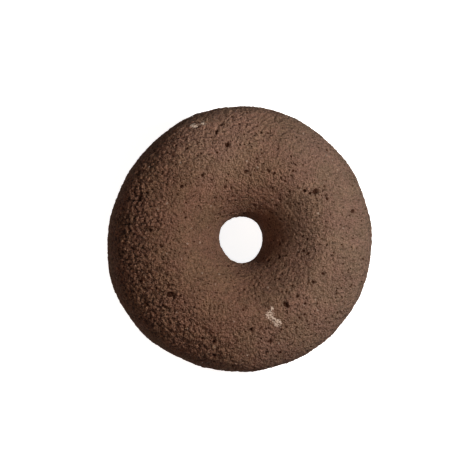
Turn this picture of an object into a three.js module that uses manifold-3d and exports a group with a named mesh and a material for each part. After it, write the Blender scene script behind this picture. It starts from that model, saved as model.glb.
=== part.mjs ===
// A donut stone: a hand-pecked ring of brown, finely pored stone with an hourglass hole.
// Millimetres, +Z up. The stone lies on its worn underside, centred on the Z axis, at Z = 0.
import * as THREE from "three";
import { mergeVertices } from "three/addons/utils/BufferGeometryUtils.js";
import Module from "manifold-3d";

// Driving dimensions
const OUTER_DIAMETER = 85;
const THICKNESS = 39; // from the upper crest to the worn flat underneath
const HOLE_DIAMETER = 14.5; // at the waist of the hourglass, half way through
const CREST_DIAMETER = 50; // the highest line of the ring
const WORN_DEPTH = 0.6; // what wear has taken off the lower crest

// The section of the ring. With slope and fullness 2 it is an ellipse on either side of the crest
const RIM_SLOPE = 1.5; // less makes the face fall straighter from the crest
const RIM_FULLNESS = 3.9; // more makes the shoulder squarer
const HOLE_SLOPE = 2;
const HOLE_FULLNESS = 1.7;
const AROUND_STEPS = 92;
const SECTION_STEPS = 46;

// How far the hand-made ring is out of true. Each lobe is [count, size in mm, crest in degrees]
const RIM_LOBES = [[2, 0.34, 55], [3, 0.32, -29], [4, 0.13, 14]];
const HOLE_LOBES = [[2, 0.19, -82], [3, 0.17, 47]];
const CREST_LOBES = [[1, 0.35, 20], [3, 0.2, 70], [5, 0.12, 10]]; // upper face only
const HOLE_SHIFT = [0.62, 0.25]; // the hole's middle from the ring's, along X and Y

// Broad pecked hollows all over. Each wave is [length in mm, size in mm, direction]
const PECK_WAVES = [
  [23, 0.1, [0.8, 0.5, 0.33]],
  [17, 0.08, [-0.45, 0.75, 0.48]],
  [14, 0.07, [0.3, -0.55, 0.78]],
  [11, 0.05, [0.62, 0.1, -0.78]],
];
const UNDERSIDE_SHARE = 0.5; // how much of their depth the underside has

// Open cavities on the upper face: clock in degrees from +X, distance from the axis, then
// length, width and depth in mm, and the turn of the long side from +X
const CAVITIES = [
  { clock: 34.5, out: 25.8, long: 3.4, wide: 2.2, deep: 1.1, turn: 5 },
  { clock: 14, out: 35.3, long: 1.8, wide: 1.6, deep: 0.8, turn: 0 },
  { clock: 216, out: 30.5, long: 3.4, wide: 2.3, deep: 1.1, turn: 10 },
  { clock: 299, out: 24.0, long: 3.8, wide: 1.9, deep: 1.0, turn: -50 },
  { clock: 160, out: 36.3, long: 2.3, wide: 1.6, deep: 0.8, turn: 70 },
  { clock: 282, out: 33.6, long: 2.8, wide: 1.5, deep: 0.8, turn: 8 },
  { clock: 246.5, out: 32.3, long: 9.5, wide: 1.5, deep: 0.5, turn: -54 },
];
const CAVITY_CLEARANCE = 0.35; // how far a cutter's flat middle stands proud of the surface

const rimRadius = OUTER_DIAMETER / 2;
const holeRadius = HOLE_DIAMETER / 2;
const crestRadius = CREST_DIAMETER / 2;
const halfHeight = (THICKNESS + WORN_DEPTH) / 2;

const wasm = await Module();
wasm.setup();

function signedPower(value, exponent) {
  return Math.sign(value) * Math.abs(value) ** exponent;
}

// How far the section reaches from the crest towards the rim or the hole, and its shape there.
function sideOf(towardsRim) {
  return towardsRim
    ? { reach: rimRadius - crestRadius, slope: RIM_SLOPE, fullness: RIM_FULLNESS }
    : { reach: crestRadius - holeRadius, slope: HOLE_SLOPE, fullness: HOLE_FULLNESS };
}

// The closed outline of the ring's section: x is the distance from the axis, y the height over
// the middle plane. It starts at the rim and rises to the upper crest first.
class RingSection extends THREE.Curve {
  getPoint(t, target = new THREE.Vector2()) {
    const turn = 2 * Math.PI * t;
    const { reach, slope, fullness } = sideOf(Math.cos(turn) > 0);
    return target.set(
      crestRadius + reach * signedPower(Math.cos(turn), 2 / slope),
      halfHeight * signedPower(Math.sin(turn), 2 / fullness),
    );
  }
}

// The height of the true ring's upper face over the middle plane.
function faceHeight(out) {
  const { reach, slope, fullness } = sideOf(out > crestRadius);
  return halfHeight * (1 - Math.abs((out - crestRadius) / reach) ** slope) ** (1 / fullness);
}

function lobes(list, clock) {
  return list.reduce(
    (sum, [count, size, crest]) =>
      sum + size * Math.cos(count * (clock - THREE.MathUtils.degToRad(crest))),
    0,
  );
}

function peckedDepth(point) {
  return PECK_WAVES.reduce(
    (sum, [length, size, [x, y, z]]) =>
      sum + size * Math.sin((2 * Math.PI * (x * point.x + y * point.y + z * point.z)) / length),
    0,
  );
}

// Moves a point of the true ring to where the hand-made one has it.
function outOfTrue(point) {
  const clock = Math.atan2(point.y, point.x);
  const out = Math.hypot(point.x, point.y);
  const towardsRim = Math.max(0, (out - crestRadius) / (rimRadius - crestRadius));
  const towardsHole = Math.max(0, (crestRadius - out) / (crestRadius - holeRadius));
  const lean = point.z / halfHeight;
  const pecked = peckedDepth(point);
  const heave = lean > 0 ? lobes(CREST_LOBES, clock) + pecked : UNDERSIDE_SHARE * pecked;
  const swell =
    towardsRim ** 2 * (lobes(RIM_LOBES, clock) + pecked) +
    towardsHole * (lobes(HOLE_LOBES, clock) - pecked);
  const scale = (out + swell) / out;
  return new THREE.Vector3(
    point.x * scale + towardsHole * HOLE_SHIFT[0],
    point.y * scale + towardsHole * HOLE_SHIFT[1],
    point.z + lean * heave,
  );
}

// The surface point over a place on the upper face, with its outward direction.
function upperFaceAt(clockDegrees, out) {
  const clock = THREE.MathUtils.degToRad(clockDegrees);
  const step = 0.1;
  const slope = (faceHeight(out + step) - faceHeight(out - step)) / (2 * step);
  const point = new THREE.Vector3(out * Math.cos(clock), out * Math.sin(clock), faceHeight(out));
  const normal = new THREE.Vector3(-slope * Math.cos(clock), -slope * Math.sin(clock), 1);
  return { point: outOfTrue(point), normal: normal.normalize() };
}

function solidFrom(geometry) {
  const bare = geometry.clone();
  bare.deleteAttribute("normal");
  bare.deleteAttribute("uv");
  const merged = mergeVertices(bare, 1e-3);
  return new wasm.Manifold(
    new wasm.Mesh({
      numProp: 3,
      vertProperties: new Float32Array(merged.attributes.position.array),
      triVerts: new Uint32Array(merged.index.array),
    }),
  );
}

function geometryFrom(solid) {
  const mesh = solid.getMesh();
  const geometry = new THREE.BufferGeometry();
  geometry.setAttribute("position", new THREE.BufferAttribute(mesh.vertProperties, 3));
  geometry.setIndex(new THREE.BufferAttribute(mesh.triVerts, 1));
  geometry.computeVertexNormals();
  return geometry;
}

function ringGeometry() {
  const outline = new RingSection().getSpacedPoints(SECTION_STEPS);
  outline[SECTION_STEPS].copy(outline[0]);
  const geometry = new THREE.LatheGeometry(outline, AROUND_STEPS);
  geometry.rotateX(Math.PI / 2);
  const position = geometry.attributes.position;
  const point = new THREE.Vector3();
  for (let i = 0; i < position.count; i++) {
    point.fromBufferAttribute(position, i);
    const moved = outOfTrue(point);
    position.setXYZ(i, moved.x, moved.y, moved.z);
  }
  return geometry;
}

function cavityCutter({ clock, out, long, wide, deep, turn }) {
  const { point, normal } = upperFaceAt(clock, out);
  const cutter = new THREE.IcosahedronGeometry(1, 1);
  cutter.scale(long / 2, wide / 2, deep + CAVITY_CLEARANCE);
  cutter.rotateZ(THREE.MathUtils.degToRad(turn));
  const upright = new THREE.Vector3(0, 0, 1);
  cutter.applyQuaternion(new THREE.Quaternion().setFromUnitVectors(upright, normal));
  const centre = point.addScaledVector(normal, CAVITY_CLEARANCE);
  cutter.translate(centre.x, centre.y, centre.z);
  return cutter;
}

function wornUnderside() {
  const block = new THREE.BoxGeometry(2 * OUTER_DIAMETER, 2 * OUTER_DIAMETER, THICKNESS);
  block.translate(0, 0, -halfHeight + WORN_DEPTH - THICKNESS / 2);
  return block;
}

// Stands the stone on Z = 0 with the middle of its outline on the axis.
function setDown(geometry) {
  geometry.computeBoundingBox();
  const { min, max } = geometry.boundingBox;
  geometry.translate(-(min.x + max.x) / 2, -(min.y + max.y) / 2, -min.z);
  return geometry;
}

function donutStone() {
  let solid = solidFrom(ringGeometry()).subtract(solidFrom(wornUnderside()));
  for (const cavity of CAVITIES) solid = solid.subtract(solidFrom(cavityCutter(cavity)));
  const stone = new THREE.MeshStandardMaterial({ color: 0x7a5c4c, roughness: 0.9, metalness: 0 });
  const mesh = new THREE.Mesh(setDown(geometryFrom(solid)), stone);
  mesh.name = "donut_stone";
  return mesh;
}

const part = new THREE.Group();
part.add(donutStone());

export default part;
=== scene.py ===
"""A donut stone: a hand-pecked ring of brown, finely pored stone, lying on a pale studio floor.

The ring has the section, swells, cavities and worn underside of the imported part, worked out from
the same named sizes. Its grain, pores and colours are made here. All lengths are in metres. A clock
is an angle round the Z axis, from +X, and out is a distance from that axis.
"""

import math
from collections import namedtuple

import bmesh
import bpy
import numpy as np
from bpy.props import FloatProperty, FloatVectorProperty, IntProperty, PointerProperty
from mathutils import Matrix, Vector, kdtree, noise


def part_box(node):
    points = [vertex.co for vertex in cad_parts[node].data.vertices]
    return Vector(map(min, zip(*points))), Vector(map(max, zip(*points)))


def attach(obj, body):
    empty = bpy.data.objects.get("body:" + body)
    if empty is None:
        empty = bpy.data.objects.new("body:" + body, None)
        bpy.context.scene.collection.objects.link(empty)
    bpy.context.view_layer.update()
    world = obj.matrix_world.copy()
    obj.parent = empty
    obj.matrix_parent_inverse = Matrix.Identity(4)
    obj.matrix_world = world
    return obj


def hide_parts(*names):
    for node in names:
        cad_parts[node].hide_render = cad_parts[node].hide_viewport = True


bl_info = {
    "name": "Donut stone",
    "version": (1, 0, 0),
    "blender": (4, 5, 0),
    "location": "3D View > Sidebar > Donut Stone",
    "description": "Makes a pecked stone ring with an hourglass hole, and a studio for it",
    "category": "Object",
}

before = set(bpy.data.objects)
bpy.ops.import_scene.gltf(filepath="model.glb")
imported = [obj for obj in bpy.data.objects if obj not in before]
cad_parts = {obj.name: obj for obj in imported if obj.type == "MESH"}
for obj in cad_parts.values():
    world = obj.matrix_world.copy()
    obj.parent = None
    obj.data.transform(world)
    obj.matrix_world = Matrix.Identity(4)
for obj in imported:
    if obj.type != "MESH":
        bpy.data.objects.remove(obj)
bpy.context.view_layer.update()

MM = 0.001
NODE = "donut_stone"

# How far the hand-made ring is out of true, as in the solid. Each lobe is (count, size, crest)
RIM_LOBES = ((2, 0.34 * MM, 55), (3, 0.32 * MM, -29), (4, 0.13 * MM, 14))
HOLE_LOBES = ((2, 0.19 * MM, -82), (3, 0.17 * MM, 47))
CREST_LOBES = ((1, 0.35 * MM, 20), (3, 0.2 * MM, 70), (5, 0.12 * MM, 10))
HOLE_SHIFT = (0.62 * MM, 0.25 * MM)

# Broad pecked hollows, as in the solid. Each wave is (length, size, direction)
PECK_WAVES = (
    (23 * MM, 0.1 * MM, (0.8, 0.5, 0.33)),
    (17 * MM, 0.08 * MM, (-0.45, 0.75, 0.48)),
    (14 * MM, 0.07 * MM, (0.3, -0.55, 0.78)),
    (11 * MM, 0.05 * MM, (0.62, 0.1, -0.78)),
)
UNDERSIDE_SHARE = 0.5

# Cavities on the upper face, as in the solid, with clock and turn in degrees
Cavity = namedtuple("Cavity", "clock out long wide deep turn")
CAVITIES = (
    Cavity(34.5, 25.8 * MM, 3.4 * MM, 2.2 * MM, 1.1 * MM, 5),
    Cavity(14, 35.3 * MM, 1.8 * MM, 1.6 * MM, 0.8 * MM, 0),
    Cavity(216, 30.5 * MM, 3.4 * MM, 2.3 * MM, 1.1 * MM, 10),
    Cavity(299, 24.0 * MM, 3.8 * MM, 1.9 * MM, 1.0 * MM, -50),
    Cavity(160, 36.3 * MM, 2.3 * MM, 1.6 * MM, 0.8 * MM, 70),
    Cavity(282, 33.6 * MM, 2.8 * MM, 1.5 * MM, 0.8 * MM, 8),
    Cavity(246.5, 32.3 * MM, 9.5 * MM, 1.5 * MM, 0.5 * MM, -54),
)

# Smaller pits of the upper face: clock in degrees, distance out and radius
PITS = (
    (14.5, 35.6 * MM, 0.85 * MM),
    (34, 29.5 * MM, 0.6 * MM),
    (57, 21 * MM, 0.5 * MM),
    (62, 29 * MM, 0.4 * MM),
    (68, 21.5 * MM, 0.6 * MM),
    (73, 21.5 * MM, 0.6 * MM),
    (92, 20.5 * MM, 0.6 * MM),
    (103, 30 * MM, 0.8 * MM),
    (106, 35 * MM, 0.5 * MM),
    (115, 17.5 * MM, 0.6 * MM),
    (143, 26.5 * MM, 0.6 * MM),
    (176, 31 * MM, 0.6 * MM),
    (252, 34.5 * MM, 0.6 * MM),
    (272, 29 * MM, 0.6 * MM),
    (310, 24 * MM, 0.5 * MM),
    (321, 38 * MM, 0.5 * MM),
)

# Pale scuffs of the upper face, as the pits are given
SCUFFS = (
    (83, 22 * MM, 0.5 * MM),
    (111, 38.8 * MM, 0.9 * MM),
    (115, 39.3 * MM, 1.2 * MM),
    (285, 25.2 * MM, 1.4 * MM),
    (287, 26.8 * MM, 0.9 * MM),
    (288.5, 28.2 * MM, 1.3 * MM),
    (288, 23.4 * MM, 0.8 * MM),
)

# Sides of the ring that differ from the rest
RUBBED_CLOCK = math.radians(10)  # here the funnel is rubbed smooth
SHADED_FUNNEL_CLOCK = math.radians(-25)  # here one side of the funnel has painted shade
COARSE_CLOCK = math.radians(190)  # here the upper shoulder has coarse grain, and its colour has painted highlights and shade of grazing light


class StoneForm(bpy.types.PropertyGroup):
    """Sizes of the true ring, as in the solid"""
    outer_diameter: FloatProperty(
        name="Outer diameter", description="Width of the ring over its rim",
        default=85 * MM, unit="LENGTH")
    thickness: FloatProperty(
        name="Thickness", description="Height from the worn underside to the upper crest",
        default=39 * MM, unit="LENGTH")
    hole_diameter: FloatProperty(
        name="Hole diameter", description="Width of the hole at its waist",
        default=14.5 * MM, unit="LENGTH")
    crest_diameter: FloatProperty(
        name="Crest diameter", description="Width of the ring's highest line",
        default=50 * MM, unit="LENGTH")
    worn_depth: FloatProperty(
        name="Worn depth", description="What wear has taken off the lower crest",
        default=0.6 * MM, unit="LENGTH")
    rim_slope: FloatProperty(
        name="Rim slope", description="Less makes the face fall straighter from the crest",
        default=1.5, min=1, max=2)
    rim_fullness: FloatProperty(
        name="Rim fullness", description="2 is an ellipse, and more makes the shoulder squarer",
        default=3.9, min=1)
    hole_fullness: FloatProperty(
        name="Hole fullness", description="2 is an ellipse, and less makes the funnel straighter",
        default=1.7, min=1)


class StoneRelief(bpy.types.PropertyGroup):
    """Fineness of the mesh, and depths and numbers of what is carved into it"""
    seed: IntProperty(
        name="Seed", description="Settles where the pores and grains lie", default=11)
    section_steps: IntProperty(
        name="Section steps", description="Points round the ring's spun section", default=84)
    around_steps: IntProperty(
        name="Around steps", description="Copies of the section round the axis", default=190)
    face_limit: IntProperty(
        name="Face limit", description="Triangles that the finished stone may have",
        default=196000)
    peck_depth: FloatProperty(
        name="Peck depth", description="Depth of the dimples left by the hammer stone",
        default=0.18 * MM, unit="LENGTH")
    grain_depth: FloatProperty(
        name="Grain depth", description="How far the coarse grains stand out",
        default=0.27 * MM, unit="LENGTH")
    pore_count: IntProperty(
        name="Pores", description="Open pores over the whole surface", default=900)
    pore_radius: FloatProperty(
        name="Pore radius", description="Radius of the usual pore",
        default=0.32 * MM, unit="LENGTH")
    scar_count: IntProperty(
        name="Scars", description="Shallow scars, less those that would lie on the upper face",
        default=40)
    scar_radius: FloatProperty(
        name="Scar radius", description="Radius of the largest scar",
        default=2.2 * MM, unit="LENGTH")


class StoneColours(bpy.types.PropertyGroup):
    """Colours of the stone, its stains, and its dirt and painted shade"""
    brown: FloatVectorProperty(
        name="Brown", description="The stone's main colour",
        default=(0.24, 0.147, 0.102), subtype="COLOR")
    # Painted light: the lighter, less red colour towards the key light's side
    lit_side_brown: FloatVectorProperty(
        name="Rosy brown", description="Lighter stone towards the right",
        default=(0.254, 0.173, 0.131), subtype="COLOR")
    light_brown: FloatVectorProperty(
        name="Light brown", description="Paler stone towards the photograph's top",
        default=(0.306, 0.204, 0.151), subtype="COLOR")
    ochre_stain: FloatVectorProperty(
        name="Ochre stain", description="Tints the stone in some patches, where grey does nothing",
        default=(0.5, 0.515, 0.475), subtype="COLOR")
    rose_stain: FloatVectorProperty(
        name="Rose stain", description="Tints the stone in the other patches",
        default=(0.53, 0.48, 0.5), subtype="COLOR")
    # Dirt and painted shade in the pores, pinholes, cavities and creases
    pore: FloatVectorProperty(
        name="Pore", description="Dirt in the pores and cavities",
        default=(0.042, 0.009, 0.002), subtype="COLOR")
    pale: FloatVectorProperty(
        name="Pale", description="Light mineral specks and scuffs",
        default=(0.78, 0.66, 0.56), subtype="COLOR")


class Studio(bpy.types.PropertyGroup):
    """Place of the camera and strength of the lights"""
    camera_distance: FloatProperty(
        name="Camera distance", description="From the lens to the middle of the stone",
        default=0.6, unit="LENGTH")
    camera_lean: FloatProperty(
        name="Camera lean", description="Angle between the view and the hole's axis",
        default=math.radians(9), unit="ROTATION")
    camera_clock: FloatProperty(
        name="Camera clock", description="Side that the camera leans to, from +X",
        default=math.radians(200), unit="ROTATION")
    key_power: FloatProperty(
        name="Key power", description="Power of the soft light on the right",
        default=0.65, unit="POWER")
    key_distance: FloatProperty(
        name="Key distance", description="From the key light to the stone",
        default=0.3, unit="LENGTH")
    fill_power: FloatProperty(
        name="Fill power", description="Power of the weak light on the left",
        default=0.55, unit="POWER")
    floor_glow: FloatProperty(
        name="Floor glow", description="Light that the lit paper floor gives off", default=0.76)


# Form of the ring

OUTLINE_FINENESS = 40  # points worked out for each one that is kept
HOLE_SLOPE = 2  # an ellipse's, so the outline takes no power there
MERGE_DISTANCE = 0.005 * MM


def link(piece):
    bpy.context.scene.collection.objects.link(piece)
    return piece


def evenly_spaced(points, count):
    """Takes a closed outline to the given number of points, the same distance apart."""
    closed = np.vstack([points, points[:1]])
    walked = np.concatenate([[0], np.cumsum(np.linalg.norm(np.diff(closed, axis=0), axis=1))])
    stops = np.linspace(0, walked[-1], count, endpoint=False)
    return np.column_stack([np.interp(stops, walked, closed[:, i]) for i in (0, 1)])


def section_outline(form, count):
    """The ring's section as (distance out, height over the middle plane)."""
    turn = np.linspace(0, 2 * math.pi, OUTLINE_FINENESS * count, endpoint=False)
    outward, upward = np.cos(turn), np.sin(turn)
    crest = form.crest_diameter / 2
    to_rim, to_hole = form.outer_diameter / 2 - crest, crest - form.hole_diameter / 2
    out = crest + np.where(outward > 0, to_rim * np.abs(outward) ** (2 / form.rim_slope),
                           to_hole * outward)
    fullness = np.where(outward > 0, form.rim_fullness, form.hole_fullness)
    height = half_height(form) * np.sign(upward) * np.abs(upward) ** (2 / fullness)
    return evenly_spaced(np.column_stack([out, height]), count)


def half_height(form):
    return (form.thickness + form.worn_depth) / 2


def face_height(form, out):
    """Height of the true ring's upper face over the middle plane."""
    crest = form.crest_diameter / 2
    if out > crest:
        reach, slope, fullness = form.outer_diameter / 2 - crest, form.rim_slope, form.rim_fullness
    else:
        reach, slope, fullness = crest - form.hole_diameter / 2, HOLE_SLOPE, form.hole_fullness
    return half_height(form) * (1 - (abs(out - crest) / reach) ** slope) ** (1 / fullness)


def spun_ring(form, relief):
    """The true ring, spun round the Z axis from its section."""
    ring = bmesh.new()
    points = [ring.verts.new((x, 0, z)) for x, z in section_outline(form, relief.section_steps)]
    edges = [ring.edges.new((points[i - 1], points[i])) for i in range(len(points))]
    bmesh.ops.spin(ring, geom=points + edges, cent=(0, 0, 0), axis=(0, 0, 1), angle=2 * math.pi,
                   steps=relief.around_steps, use_merge=True)
    bmesh.ops.remove_doubles(ring, verts=ring.verts, dist=MERGE_DISTANCE)
    bmesh.ops.recalc_face_normals(ring, faces=ring.faces)
    mesh = bpy.data.meshes.new("pecked_stone_ring")
    ring.to_mesh(mesh)
    ring.free()
    return link(bpy.data.objects.new("pecked_stone_ring", mesh))


def lobes(table, clock):
    return sum(size * np.cos(count * (clock - math.radians(crest))) for count, size, crest in table)


def pecked(points):
    return sum(size * np.sin(2 * math.pi * (points @ np.array(way)) / length)
               for length, size, way in PECK_WAVES)


def out_of_true(points, form):
    """Moves the true ring's points to where the hand-made one has them."""
    crest, rim, hole = (d / 2 for d in (form.crest_diameter, form.outer_diameter,
                                        form.hole_diameter))
    clock = np.arctan2(points[:, 1], points[:, 0])
    out = np.hypot(points[:, 0], points[:, 1])
    towards_rim = np.maximum(0, (out - crest) / (rim - crest))
    towards_hole = np.maximum(0, (crest - out) / (crest - hole))
    lean = points[:, 2] / half_height(form)
    depth = pecked(points)
    heave = np.where(lean > 0, lobes(CREST_LOBES, clock) + depth, UNDERSIDE_SHARE * depth)
    swell = (towards_rim ** 2 * (lobes(RIM_LOBES, clock) + depth)
             + towards_hole * (lobes(HOLE_LOBES, clock) - depth))
    scale = (out + swell) / out
    return np.column_stack([
        points[:, 0] * scale + towards_hole * HOLE_SHIFT[0],
        points[:, 1] * scale + towards_hole * HOLE_SHIFT[1],
        points[:, 2] + lean * heave,
    ])


def set_down(points, form):
    """Centres the ring in the solid's box and lets wear flatten what would pass the floor."""
    low, high = (np.array(corner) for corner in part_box(NODE))
    middle = (points.min(axis=0) + points.max(axis=0)) / 2
    rise = half_height(form) - form.worn_depth
    placed = points + [*((low + high) / 2 - middle)[:2], low[2] + rise]
    placed[:, 2] = np.maximum(placed[:, 2], low[2])
    return placed


# Relief of the stone

SEED_STEP = 17.3  # how far apart two seeds read the same noise, in lumps
WIDE_DIMPLE = 5 * MM
NARROW_DIMPLE = 2.6 * MM
GRAIN_WIDTH = 1.0 * MM
LUMP_WIDTH = 1.05 * MM
FINE_LUMP_WIDTH = 0.65 * MM
GRAIN_LEVEL = 0.4  # share of the grain's height that is sunk into the plain form
COARSE_GAIN = 0.6  # how much higher than the rest the coarse grain is
WALL_LOSS = 0.4  # how much lower than the rest the side wall's grain is
RUBBED_LOSS = 0.7  # how much of its grain the rubbed funnel has lost
WORN_LOSS = 0.8  # how much of its grain the worn flat has lost
WORN_LAYER = 0.05 * MM  # points lower than this belong to the worn flat

PORE_PATCH = 14 * MM
PORE_CHOICES = 4  # places drawn for each pore that is kept
PORE_EVENNESS = 1.2  # more makes the patches with few pores less bare
SMALLEST_PORE = 0.75  # of the usual radius
LARGEST_PORE = 2.2  # of the usual radius
PORE_SPREAD = 0.3  # mean of what the pores are over the smallest one
SPREAD_FINENESS = 400  # points round the section that random places are drawn from
SMALLEST_SCAR = 0.4  # of the largest one
SCAR_LIMIT = 0.6  # highest that a scar lies, as a share of the half height
SCAR_SHALLOWNESS = 0.2  # depth of a scar beside that of a pit as wide
BOWL_RADIUS = 1.2  # of the radius that is asked for, because a bowl's shallow edge hardly shows
BOWL_REACH = 1.8  # of the same radius, the furthest that a ragged edge goes
BOWL_EDGE = 0.9 * MM  # width of the lumps that make the edge ragged
BOWL_RAGGEDNESS = 0.7
CAVITY_EDGE = 1.1 * MM
CAVITY_RAGGEDNESS = 1.3
CAVITY_ROUNDNESS = 0.8  # less makes the walls steeper and the bottom flatter
BOWL_GAIN = 1.4  # gives a pit or scuff its full colour before its middle
SCAR_DIRT = 0.5
CAVITY_DIRT_AND_SHADE = 1.5  # for a cavity 1 mm deep
CAVITY_DARKNESS_FOCUS = 1.6  # more keeps the dirt and painted shade nearer the middle


def risen(values, low, high):
    """0 up to low, 1 from high on and a straight rise between."""
    return np.clip((values - low) / (high - low), 0, 1)


def facing(clock, side):
    """1 at one side of the ring, and 0 from a quarter turn away."""
    return np.maximum(0, np.cos(clock - side))


def lumps(points, length, seed):
    """Smooth noise from about -1 to 1, with lumps about as wide as the length."""
    return np.array([noise.noise(p) for p in (points / length + SEED_STEP * seed).tolist()])


def grains(points, length, seed):
    """Rounded grains about as wide as the length, from about -1 in the gaps to 1 on top."""
    cells = (points / length + SEED_STEP * seed).tolist()
    return 1 - 2 * np.array([noise.voronoi(p)[0][0] for p in cells])


def pecked_dimples(points, seed):
    """Dimples from about -1 to 1, with narrower ones among the wide ones."""
    return lumps(points, WIDE_DIMPLE, seed) + 0.6 * lumps(points, NARROW_DIMPLE, seed + 1)


def grain(points, seed):
    """Height of the grain at each point, mostly from -1 in the gaps to 1 on the grains."""
    coarse = 0.9 * grains(points, GRAIN_WIDTH, seed + 2) + lumps(points, LUMP_WIDTH, seed + 3)
    return coarse + 0.6 * lumps(points, FINE_LUMP_WIDTH, seed + 4)


def tree_of(points):
    tree = kdtree.KDTree(len(points))
    for i, point in enumerate(points.tolist()):
        tree.insert(point, i)
    tree.balance()
    return tree


def read_vertices(mesh, name):
    values = np.empty(len(mesh.vertices) * 3)
    mesh.vertices.foreach_get(name, values)
    return values.reshape(-1, 3)


def write_points(mesh, points):
    mesh.vertices.foreach_set("co", points.ravel())
    mesh.update()


def write_attribute(mesh, name, values):
    mesh.attributes.new(name, "FLOAT", "POINT").data.foreach_set("value", values)


def spread_places(form, draw, count):
    """Random places on the true ring, as many on each bit of its surface as on the others."""
    outline = section_outline(form, SPREAD_FINENESS)
    stops = draw.choice(len(outline), count, p=outline[:, 0] / outline[:, 0].sum())
    clock = draw.uniform(0, 2 * math.pi, count)
    out, height = outline[stops].T
    return np.column_stack([out * np.cos(clock), out * np.sin(clock), height])


def random_pores(form, relief):
    """Middles and radii of the pores, crowded in some patches and rare in others."""
    draw = np.random.default_rng(relief.seed)
    places = spread_places(form, draw, PORE_CHOICES * relief.pore_count)
    chance = (PORE_EVENNESS + lumps(places, PORE_PATCH, relief.seed + 5)) ** 2
    chosen = draw.choice(len(places), relief.pore_count, replace=False, p=chance / chance.sum())
    sizes = SMALLEST_PORE + draw.exponential(PORE_SPREAD, relief.pore_count)
    return places[chosen], relief.pore_radius * np.minimum(sizes, LARGEST_PORE)


def random_scars(form, relief):
    """Middles and radii of the scars, all of them lower than the upper face."""
    draw = np.random.default_rng(relief.seed + 6)
    places = spread_places(form, draw, relief.scar_count)
    radii = relief.scar_radius * draw.uniform(SMALLEST_SCAR, 1, relief.scar_count)
    low_down = places[:, 2] < SCAR_LIMIT * half_height(form)
    return places[low_down], radii[low_down]


def face_places(form, table):
    """Middles and radii of the pits or scuffs in a table, on the true ring's upper face."""
    places = [(out * math.cos(math.radians(clock)), out * math.sin(math.radians(clock)),
               face_height(form, out)) for clock, out, _ in table]
    return np.array(places), np.array([radius for *_, radius in table])


def bowls(points, tree, middles, radii):
    """How far inside the bowls round the middles each point lies, 0 to 1, and how deep."""
    inside, depth = np.zeros(len(points)), np.zeros(len(points))
    ragged = (1 + BOWL_RAGGEDNESS * lumps(points, BOWL_EDGE, 3)).tolist()
    for middle, radius in zip(middles.tolist(), radii.tolist()):
        bowl_radius = BOWL_RADIUS * radius
        for _, i, distance in tree.find_range(middle, BOWL_REACH * radius):
            bowl = max(0, 1 - (ragged[i] * distance / bowl_radius) ** 2)
            inside[i] = max(inside[i], bowl)
            depth[i] = max(depth[i], bowl_radius * bowl)
    return inside, depth


def cavity_bowl(points, cavity):
    """The points that one cavity of the upper face takes in, and how far inside it they lie."""
    clock, turn = math.radians(cavity.clock), math.radians(cavity.turn)
    offset = points[:, :2] - cavity.out * np.array([math.cos(clock), math.sin(clock)])
    near = np.flatnonzero((np.abs(offset).max(axis=1) < cavity.long) & (points[:, 2] > 0))
    u = (offset[near] @ [math.cos(turn), math.sin(turn)]) / (cavity.long / 2)
    v = (offset[near] @ [-math.sin(turn), math.cos(turn)]) / (cavity.wide / 2)
    ragged = 1 + CAVITY_RAGGEDNESS * lumps(points[near], CAVITY_EDGE, cavity.clock)
    return near, np.clip(1 - (u ** 2 + v ** 2) * ragged, 0, 1) ** CAVITY_ROUNDNESS


def sink_cavities(points):
    """How dark with dirt and painted shade the cavities make each point, and how far they lower it.
    """
    dirt_and_shade, depth = np.zeros(len(points)), np.zeros(len(points))
    for cavity in CAVITIES:
        near, bowl = cavity_bowl(points, cavity)
        filled = CAVITY_DIRT_AND_SHADE * bowl ** CAVITY_DARKNESS_FOCUS * cavity.deep / MM
        dirt_and_shade[near] = np.maximum(dirt_and_shade[near], filled)
        depth[near] = np.maximum(depth[near], cavity.deep * bowl)
    return dirt_and_shade, depth


def sink_hollows(true, tree, form, relief):
    """How dark with dirt and painted shade all the hollows make each point, 0 to 1, and how far
    they lower it.
    """
    in_pore, pores = bowls(true, tree, *random_pores(form, relief))
    in_pit, pits = bowls(true, tree, *face_places(form, PITS))
    in_scar, scars = bowls(true, tree, *random_scars(form, relief))
    cavity_dirt_and_shade, cavities = sink_cavities(true)
    dirt_and_shade = np.max([BOWL_GAIN * in_pore, BOWL_GAIN * in_pit, SCAR_DIRT * in_scar, cavity_dirt_and_shade],
                  axis=0)
    return np.minimum(1, dirt_and_shade), np.max([pores, pits, SCAR_SHALLOWNESS * scars, cavities], axis=0)


def regions(true, form):
    """How much each point is in the rubbed funnel, the funnel's painted shade, the coarse shoulder
    and the wall.
    """
    out = np.hypot(true[:, 0], true[:, 1])
    clock = np.arctan2(true[:, 1], true[:, 0])
    lean = true[:, 2] / half_height(form)
    crest, hole = form.crest_diameter / 2, form.hole_diameter / 2
    funnel = np.clip((crest - out) / (crest - hole), 0, 1)
    rubbed = facing(clock, RUBBED_CLOCK) * risen(funnel, 0.2, 0.7)
    # Painted shade on one side of the funnel's wall, strongest halfway down
    shaded_funnel = facing(clock, SHADED_FUNNEL_CLOCK) * 4 * funnel * (1 - funnel)
    coarse = (facing(clock, COARSE_CLOCK) * risen(out / crest, 0.95, 1.45)
              * risen(lean, 0.2, 0.7))
    side_wall = 1 - risen(np.abs(lean), 0.4, 0.8)
    return rubbed, shaded_funnel, coarse, side_wall


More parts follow.
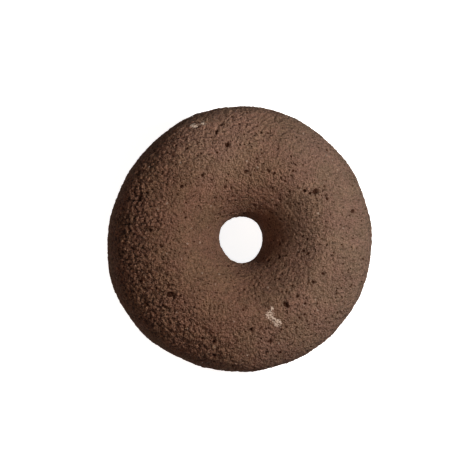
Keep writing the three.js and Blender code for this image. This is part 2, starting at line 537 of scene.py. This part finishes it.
def carve(mesh, form, relief):
    """Gives the true ring its hand-made form, grain, pores and cavities."""
    true = read_vertices(mesh, "co")
    points = set_down(out_of_true(true, form), form)
    write_points(mesh, points)
    normals = read_vertices(mesh, "normal")

    rubbed, shaded_funnel, coarse, side_wall = regions(true, form)
    worn = points[:, 2] < WORN_LAYER
    grit = (1 - np.maximum(RUBBED_LOSS * rubbed, WORN_LOSS * worn)) * (1 + COARSE_GAIN * coarse)
    grained = grain(points, relief.seed) * grit * (1 - WALL_LOSS * side_wall)
    height = (relief.peck_depth * pecked_dimples(points, relief.seed)
              + relief.grain_depth * (grained - GRAIN_LEVEL))
    height = np.where(worn, relief.grain_depth * np.minimum(grained, 0), height)

    tree = tree_of(true)
    dirt_and_shade, depth = sink_hollows(true, tree, form, relief)
    scuffed, _ = bowls(true, tree, *face_places(form, SCUFFS))
    moved = points + normals * (height - depth)[:, None]
    moved[:, 2] = np.maximum(moved[:, 2], 0)
    write_points(mesh, moved)
    write_attribute(mesh, "hollow", dirt_and_shade)
    write_attribute(mesh, "grain", grained)
    write_attribute(mesh, "funnel_shade", shaded_funnel)
    write_attribute(mesh, "grit", grit)
    write_attribute(mesh, "coarse", coarse)
    write_attribute(mesh, "scuff", np.minimum(1, BOWL_GAIN * scuffed))


def apply_modifier(piece, kind, **settings):
    modifier = piece.modifiers.new(kind.title(), kind)
    for name, setting in settings.items():
        setattr(modifier, name, setting)
    with bpy.context.temp_override(object=piece):
        bpy.ops.object.modifier_apply(modifier=modifier.name)


# Shader building


class Wire:
    """An output socket of a shader node. Arithmetic on it adds Math nodes."""

    def __init__(self, shader, socket):
        self.shader, self.socket = shader, socket

    def _math(self, operation, first, second):
        return self.shader.node("ShaderNodeMath", {"operation": operation},
                                {0: first, 1: second})

    def __add__(self, other):
        return self._math("ADD", self, other)

    def __sub__(self, other):
        return self._math("SUBTRACT", self, other)

    def __rsub__(self, other):
        return self._math("SUBTRACT", other, self)

    def __mul__(self, other):
        return self._math("MULTIPLY", self, other)

    __radd__ = __add__
    __rmul__ = __mul__


class Shader:
    """A material whose nodes all come from one method."""

    def __init__(self, name):
        self.material = bpy.data.materials.new(name)
        self.material.use_nodes = True
        self.tree = self.material.node_tree
        self.tree.nodes.clear()

    def node(self, kind, settings=None, values=None, output=0):
        """Adds a node, sets it up, fills its inputs and returns one of its outputs."""
        made = self.tree.nodes.new(kind)
        for name, setting in (settings or {}).items():
            setattr(made, name, setting)
        for key, value in (values or {}).items():
            if isinstance(value, Wire):
                self.tree.links.new(value.socket, made.inputs[key])
            else:
                made.inputs[key].default_value = value
        return Wire(self, made.outputs[output]) if made.outputs else None

    def place(self):
        """The Object coordinates."""
        return self.node("ShaderNodeTexCoord", output="Object")

    def attribute(self, name):
        return self.node("ShaderNodeAttribute", {"attribute_name": name}, output="Fac")

    def noise(self, place, length, detail, roughness=0.5):
        """Noise from 0 to 1 with lumps about as wide as the length."""
        return self.node("ShaderNodeTexNoise", {},
                         {"Vector": place, "Scale": 1 / length, "Detail": detail,
                          "Roughness": roughness}, "Fac")

    def cells(self, place, length):
        """Cells about as wide as the length, from 0 in their middles to about 1 between them."""
        return self.node("ShaderNodeTexVoronoi", {"feature": "F1"},
                         {"Vector": place, "Scale": 1 / length, "Randomness": 1.0}, "Distance")

    def larger(self, first, second):
        return self.node("ShaderNodeMath", {"operation": "MAXIMUM"}, {0: first, 1: second})

    def ramp(self, value, low, high):
        """0 below low, 1 above high and a smooth step between."""
        return self.node("ShaderNodeMapRange", {"interpolation_type": "SMOOTHSTEP"},
                         {"Value": value, "From Min": low, "From Max": high})

    def mix(self, factor, first, second, blend="MIX"):
        """A mix of two colours."""
        first, second = ((*c, 1) if isinstance(c, tuple) else c for c in (first, second))
        return self.node("ShaderNodeMix", {"data_type": "RGBA", "blend_type": blend},
                         {0: factor, 6: first, 7: second}, 2)

    def finish(self, **values):
        """Adds the surface shader with the named values."""
        surface = self.node("ShaderNodeBsdfPrincipled", {},
                            {name.replace("_", " "): value for name, value in values.items()})
        self.node("ShaderNodeOutputMaterial", {}, {"Surface": surface})
        return self.material


# Widths of the stone's patterns of colour, and how deep its bump goes
DRIFT = 26 * MM  # from brown to the painted-light brown of the key light's side
STAIN = 8 * MM
MOTTLE = 4.5 * MM
SPECKLE = 0.5 * MM
GRAIN_CELL = 0.95 * MM
GRAIN_BUMP = 0.95 * MM
PINHOLE_CELL = 1.3 * MM
PINHOLE_PATCH = 5 * MM
SPECK_CELL = 4.5 * MM
BUMP_DEPTH = 0.85 * MM

# The palest patch: its middle, and how far from it the pale starts and stops fading
LIGHT_PATCH = (-10 * MM, 34 * MM, 35 * MM)
LIGHT_REACH = (12 * MM, 29 * MM)
LIGHT_RAGGEDNESS = 12 * MM


def stained_brown(shader, place, drift, light, colours):
    """Brown with painted light, lighter and less red towards +X on the key light's side, paler in
    the light patch, stained ochre and rose.
    """
    towards_right = shader.node("ShaderNodeSeparateXYZ", {}, {0: place}, "X")
    # Painted light: mostly a ramp towards +X, the key light's side, with some random drift
    lit_share = shader.ramp(drift * 0.5 + towards_right * 14, 0.05, 0.75)
    colour = shader.mix(lit_share, tuple(colours.brown), tuple(colours.lit_side_brown))
    colour = shader.mix(light, colour, tuple(colours.light_brown))
    tint = shader.ramp(shader.noise(place, STAIN, 4, 0.65), 0.35, 0.65)
    stain = shader.mix(tint, tuple(colours.ochre_stain), tuple(colours.rose_stain))
    return shader.mix(0.55, colour, stain, "OVERLAY")


def pinhole_mask(shader, place):
    """1 in the pinholes between the pores, which come in patches."""
    holes = 1 - shader.ramp(shader.cells(place, PINHOLE_CELL), 0.13, 0.27)
    return holes * shader.ramp(shader.noise(place, PINHOLE_PATCH, 3), 0.43, 0.58)


def pale_mask(shader, place):
    """How pale the mineral specks and the dusty scuffs are."""
    specks = 1 - shader.ramp(shader.cells(place, SPECK_CELL), 0.05, 0.11)
    scuff = shader.attribute("scuff")
    dust = scuff * 0.9 + (shader.noise(place, SPECKLE, 3, 0.7) - 0.5) * 3.5
    return shader.larger(specks * 0.3, shader.ramp(dust * shader.ramp(scuff, 0, 0.2), 0.3, 1.25))


def stone_material(colours):
    """Brown stone: painted light towards the key light's side, a paler patch, mottling, grain,
    painted highlights and shade on the coarse shoulder and in the funnel, dirt and painted shade in
    the pores and creases, and pale specks.
    """
    shader = Shader("pecked_brown_stone")
    place = shader.place()
    hollow, funnel_shade, coarse = (shader.attribute(name) for name in ("hollow", "funnel_shade", "coarse"))
    drift = shader.noise(place, DRIFT, 3)
    from_patch = shader.node("ShaderNodeVectorMath", {"operation": "DISTANCE"},
                             {0: place, 1: LIGHT_PATCH}, "Value")
    light = 1 - shader.ramp(from_patch + drift * LIGHT_RAGGEDNESS, *LIGHT_REACH)
    mottle = shader.noise(place, MOTTLE, 3, 0.6)
    speckle = shader.noise(place, SPECKLE, 2, 0.6)
    crease = shader.ramp(shader.cells(place, GRAIN_CELL), 0.4, 0.8)
    pinholes = pinhole_mask(shader, place)

    # Painted light and shade in the tone: on the coarse shoulder the stronger speckle contrast and
    # a lift stand in for grazing-light highlights, the crease darkening and darker grain gaps are
    # painted shade, and the funnel term paints shade on one side of the funnel
    contrast = 1.95 + coarse * 1.3 - light * 0.4
    tone = (0.8 + mottle * 0.5 + (speckle - 0.5) * contrast + shader.attribute("grain") * 0.07
            + coarse * 0.25 - crease * (coarse * 0.65 + 0.08) - funnel_shade * 0.22)
    grey = shader.node("ShaderNodeCombineColor", {}, {0: tone, 1: tone, 2: tone})
    # Dirt and painted shade: pinholes, pores and cavities, and creases on the coarse shoulder,
    # darken towards the pore colour
    dirt_and_shade = shader.larger(pinholes * 0.8 + crease * coarse * 0.3,
                         shader.ramp(hollow, 0.3, 0.95) * 0.82)
    colour = stained_brown(shader, place, drift, light, colours)
    colour = shader.mix(1.0, colour, grey, "MULTIPLY")
    colour = shader.mix(dirt_and_shade, colour, tuple(colours.pore))
    colour = shader.mix(pale_mask(shader, place), colour, tuple(colours.pale))

    bumps = speckle + shader.noise(place, GRAIN_BUMP, 2) * 0.9 - crease * 0.35
    height = bumps * shader.attribute("grit") - pinholes * 0.5
    normal = shader.node("ShaderNodeBump", {},
                         {"Strength": 1.0, "Distance": BUMP_DEPTH, "Height": height})
    return shader.finish(Base_Color=colour, Roughness=0.88 + mottle * 0.1, Normal=normal,
                         Specular_IOR_Level=0.15)


def floor_material(glow):
    shader = Shader("pale_floor")
    return shader.finish(Base_Color=(0.8, 0.8, 0.8, 1), Roughness=0.9,
                         Emission_Color=(1, 1, 1, 1), Emission_Strength=glow)


# Studio

PHOTO_WIDTH_PX = 470
PHOTO_HEIGHT_PX = 450
STONE_WIDTH_PX = 263
STONE_MIDDLE_PX = (239.4, 239.2)
SENSOR_WIDTH = 36 * MM

KEY_LEAN = math.radians(34)
KEY_CLOCK = math.radians(15)
KEY_SIZE = 0.045
KEY_COLOUR = (1, 0.98, 0.95)
FILL_LEAN = math.radians(26)
FILL_CLOCK = math.radians(215)
FILL_DISTANCE = 0.6
FILL_SIZE = 0.5
FILL_COLOUR = (1, 0.62, 0.45)
ROOM_COLOUR = (1, 0.82, 0.72, 1)
ROOM_STRENGTH = 0.07

FLOOR_RADIUS = 1.6
SWEEP_RADIUS = 0.7
SWEEP_STEPS = 12
BACKDROP_HEIGHT = 2.5
FLOOR_STEPS = 96


def direction(lean, clock):
    """Unit vector at an angle from straight up, towards a side."""
    return Vector((math.sin(lean) * math.cos(clock), math.sin(lean) * math.sin(clock),
                   math.cos(lean)))


def aimed(backward, up):
    """Rotation of a camera or light that looks against the backward direction."""
    side = up.cross(backward).normalized()
    return Matrix((side, backward.cross(side), backward)).transposed().to_4x4()


def stone_middle():
    low, high = (Vector(corner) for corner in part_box(NODE))
    return (low + high) / 2


def add_floor(glow):
    """A round floor that sweeps up all round into its own backdrop."""
    bend = [math.radians(90) * i / SWEEP_STEPS for i in range(SWEEP_STEPS + 1)]
    sweep = [(FLOOR_RADIUS + SWEEP_RADIUS * math.sin(a), SWEEP_RADIUS * (1 - math.cos(a)))
             for a in bend]
    profile = [(0, 0), *sweep, (FLOOR_RADIUS + SWEEP_RADIUS, BACKDROP_HEIGHT)]
    sheet = bmesh.new()
    points = [sheet.verts.new((x, 0, z)) for x, z in profile]
    edges = [sheet.edges.new(pair) for pair in zip(points, points[1:])]
    bmesh.ops.spin(sheet, geom=points + edges, cent=(0, 0, 0), axis=(0, 0, 1),
                   angle=2 * math.pi, steps=FLOOR_STEPS, use_merge=True)
    bmesh.ops.remove_doubles(sheet, verts=sheet.verts, dist=MERGE_DISTANCE)
    bmesh.ops.recalc_face_normals(sheet, faces=sheet.faces)
    bmesh.ops.reverse_faces(sheet, faces=sheet.faces)
    mesh = bpy.data.meshes.new("floor")
    sheet.to_mesh(mesh)
    sheet.free()
    mesh.shade_smooth()
    mesh.materials.append(floor_material(glow))
    floor = link(bpy.data.objects.new("floor", mesh))
    floor.visible_diffuse = False


def add_light(name, towards, distance, size, power, colour):
    """A round soft light that shines on the stone from a direction."""
    light = bpy.data.lights.new(name, "AREA")
    light.shape, light.size, light.energy, light.color = "DISK", size, power, colour
    lamp = link(bpy.data.objects.new(name, light))
    lamp.matrix_world = (Matrix.Translation(stone_middle() + towards * distance)
                         @ aimed(towards, Vector((0, 1, 0))))


def add_camera(studio, stone_width):
    """Looks down on the stone as the photograph does, with the stone at its place in the frame."""
    pixel = stone_width / STONE_WIDTH_PX
    backward = direction(studio.camera_lean, studio.camera_clock)
    turn = aimed(backward, Vector((0, 1, 0)))
    right, up = turn.col[0].to_3d(), turn.col[1].to_3d()
    offset = (right * (PHOTO_WIDTH_PX / 2 - STONE_MIDDLE_PX[0])
              + up * (STONE_MIDDLE_PX[1] - PHOTO_HEIGHT_PX / 2)) * pixel
    lens = bpy.data.cameras.new("photo_view")
    lens.sensor_width = SENSOR_WIDTH / MM
    lens.lens = lens.sensor_width * studio.camera_distance / (PHOTO_WIDTH_PX * pixel)
    camera = link(bpy.data.objects.new("photo_view", lens))
    place = stone_middle() + offset + backward * studio.camera_distance
    camera.matrix_world = Matrix.Translation(place) @ turn
    bpy.context.scene.camera = camera


def dim_room():
    """Weak warm light from all round, and the picture's contrast."""
    world = bpy.data.worlds.new("dim_room")
    world.use_nodes = True
    background = world.node_tree.nodes["Background"]
    background.inputs["Color"].default_value = ROOM_COLOUR
    background.inputs["Strength"].default_value = ROOM_STRENGTH
    bpy.context.scene.world = world
    bpy.context.scene.view_settings.view_transform = "Standard"
    bpy.context.scene.view_settings.look = "Medium High Contrast"


# Operators and panel


class DONUT_OT_stone(bpy.types.Operator):
    """Make the pecked stone ring in place of its plain solid"""
    bl_idname = "donut.stone"
    bl_label = "Stone"

    def execute(self, context):
        form, relief = context.scene.donut_form, context.scene.donut_relief
        stone = spun_ring(form, relief)
        apply_modifier(stone, "SUBSURF", levels=2, render_levels=2)
        carve(stone.data, form, relief)
        triangles = 2 * len(stone.data.polygons)
        apply_modifier(stone, "DECIMATE", ratio=relief.face_limit / triangles)
        stone.data.shade_smooth()
        stone.data.materials.append(stone_material(context.scene.donut_colours))
        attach(stone, "root")
        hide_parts(NODE)
        return {"FINISHED"}


class DONUT_OT_studio(bpy.types.Operator):
    """Set the stone on a pale floor, with soft light and the photograph's camera"""
    bl_idname = "donut.studio"
    bl_label = "Studio"

    def execute(self, context):
        studio = context.scene.donut_studio
        add_floor(studio.floor_glow)
        add_light("key", direction(KEY_LEAN, KEY_CLOCK), studio.key_distance, KEY_SIZE,
                  studio.key_power, KEY_COLOUR)
        add_light("fill", direction(FILL_LEAN, FILL_CLOCK), FILL_DISTANCE, FILL_SIZE,
                  studio.fill_power, FILL_COLOUR)
        add_camera(studio, context.scene.donut_form.outer_diameter)
        dim_room()
        return {"FINISHED"}


class DONUT_PT_panel(bpy.types.Panel):
    """Sizes and colours of the stone and its studio, with a button to make each"""
    bl_label = "Donut Stone"
    bl_space_type = "VIEW_3D"
    bl_region_type = "UI"
    bl_category = "Donut Stone"

    def draw(self, context):
        scene = context.scene
        for group in (scene.donut_form, scene.donut_relief, scene.donut_colours):
            for name in group.__annotations__:
                self.layout.prop(group, name)
        self.layout.operator("donut.stone")
        for name in scene.donut_studio.__annotations__:
            self.layout.prop(scene.donut_studio, name)
        self.layout.operator("donut.studio")


GROUPS = {"donut_form": StoneForm, "donut_relief": StoneRelief,
          "donut_colours": StoneColours, "donut_studio": Studio}
CLASSES = (*GROUPS.values(), DONUT_OT_stone, DONUT_OT_studio, DONUT_PT_panel)


def register():
    for cls in CLASSES:
        bpy.utils.register_class(cls)
    for name, group in GROUPS.items():
        setattr(bpy.types.Scene, name, PointerProperty(type=group))


def unregister():
    for name in GROUPS:
        delattr(bpy.types.Scene, name)
    for cls in reversed(CLASSES):
        bpy.utils.unregister_class(cls)


def main():
    register()
    bpy.ops.donut.stone()
    bpy.ops.donut.studio()


if __name__ == "__main__":
    main()
